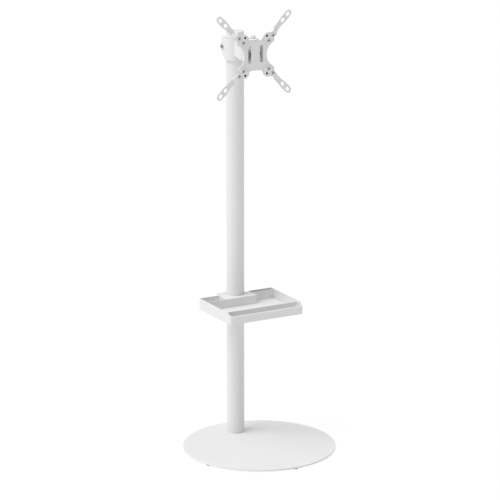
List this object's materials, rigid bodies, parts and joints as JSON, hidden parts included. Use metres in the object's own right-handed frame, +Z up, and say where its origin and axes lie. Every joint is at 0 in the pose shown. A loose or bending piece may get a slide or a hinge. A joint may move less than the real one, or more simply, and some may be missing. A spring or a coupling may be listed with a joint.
{
  "type": "pole display stand",
  "caption": "Floor-standing pole with a round flat base, a sliding compartment tray and a sliding, swivelling and tilting arm bracket that carries a small display.",
  "frame": {"origin": "middle of the round base, on the floor under the feet", "axes": "+Z up along the pole, -Y towards the screen side, +X to the right seen from the screen side; the pole stands 132 mm behind the origin"},
  "size_m": [0.41, 0.41, 1.1809],
  "materials": {
    "white_coated_steel": "satin white powder coat with a very fine orange-peel texture",
    "white_plastic": "moulded white plastic, satin",
    "bright_hardware": "bright zinc plated steel, slightly blue",
    "black_hardware": "black oxide steel, light oil sheen",
    "foot_rubber": "matt black rubber",
    "black_nylon": "matt black nylon"
  },
  "bodies": {
    "stand": {"base_plate": "white_coated_steel", "pole_plug": "bright_hardware", "pole_tube": "white_coated_steel", "pole_cap": "white_plastic", "base_screw_1": "black_hardware", "base_screw_2": "black_hardware", "base_screw_3": "black_hardware", "foot_1": "foot_rubber", "foot_2": "foot_rubber", "foot_3": "foot_rubber", "foot_4": "foot_rubber", "foot_5": "foot_rubber"},
    "tray_sleeve": {"tray_liner": "white_plastic"},
    "tray": {"tray_shell": "white_plastic", "tray_collar": "white_plastic", "tray_clamp_screw": "bright_hardware", "tray_clamp_nut": "bright_hardware", "tray_screw_1": "bright_hardware", "tray_screw_2": "bright_hardware", "tray_screw_3": "bright_hardware", "tray_screw_4": "bright_hardware"},
    "head_sleeve": {"head_liner": "white_plastic"},
    "head": {"head_collar": "white_coated_steel", "clamp_bolt": "black_hardware", "clamp_nut": "black_hardware", "tilt_yoke": "white_coated_steel", "yoke_screw": "black_hardware", "tilt_bolt": "black_hardware", "tilt_nut": "black_hardware"},
    "tilt": {"tilt_block": "white_coated_steel", "tilt_pad_1": "black_nylon", "tilt_pad_2": "black_nylon"},
    "screen_plate": {"vesa_plate": "white_coated_steel", "swivel_dome": "white_plastic", "swivel_bolt": "white_coated_steel", "swivel_nut": "bright_hardware", "spare_plug_1": "black_nylon", "spare_plug_2": "black_nylon", "spare_plug_3": "black_nylon", "spare_plug_4": "black_nylon", "arm_1": "white_coated_steel", "arm_2": "white_coated_steel", "arm_3": "white_coated_steel", "arm_4": "white_coated_steel", "arm_screw_1": "black_hardware", "arm_screw_2": "black_hardware", "arm_screw_3": "black_hardware", "arm_screw_4": "black_hardware", "arm_screw_5": "black_hardware", "arm_screw_6": "black_hardware", "arm_screw_7": "black_hardware", "arm_screw_8": "black_hardware", "arm_nut_1": "bright_hardware", "arm_nut_2": "bright_hardware", "arm_nut_3": "bright_hardware", "arm_nut_4": "bright_hardware", "arm_nut_5": "bright_hardware", "arm_nut_6": "bright_hardware", "arm_nut_7": "bright_hardware", "arm_nut_8": "bright_hardware"}
  },
  "joints": [
    {"name": "tray_height", "type": "slide", "parent": "stand", "child": "tray_sleeve", "axis": [0, 0, 1], "range_m": [-0.35, 0.54]},
    {"name": "tray_turn", "type": "hinge", "parent": "tray_sleeve", "child": "tray", "pos_m": [0, 0.132, 0.386], "axis": [0, 0, 1], "continuous": true},
    {"name": "head_height", "type": "slide", "parent": "stand", "child": "head_sleeve", "axis": [0, 0, 1], "range_m": [-0.545, 0.014]},
    {"name": "head_turn", "type": "hinge", "parent": "head_sleeve", "child": "head", "pos_m": [0, 0.132, 1.07], "axis": [0, 0, 1], "continuous": true},
    {"name": "screen_tilt", "type": "hinge", "parent": "head", "child": "tilt", "pos_m": [0, 0.044, 1.07], "axis": [1, 0, 0], "range_deg": [-15, 15]},
    {"name": "screen_swivel", "type": "hinge", "parent": "tilt", "child": "screen_plate", "pos_m": [0, 0.035, 1.07], "axis": [0, 0, 1], "range_deg": [-15, 15]}
  ]
}
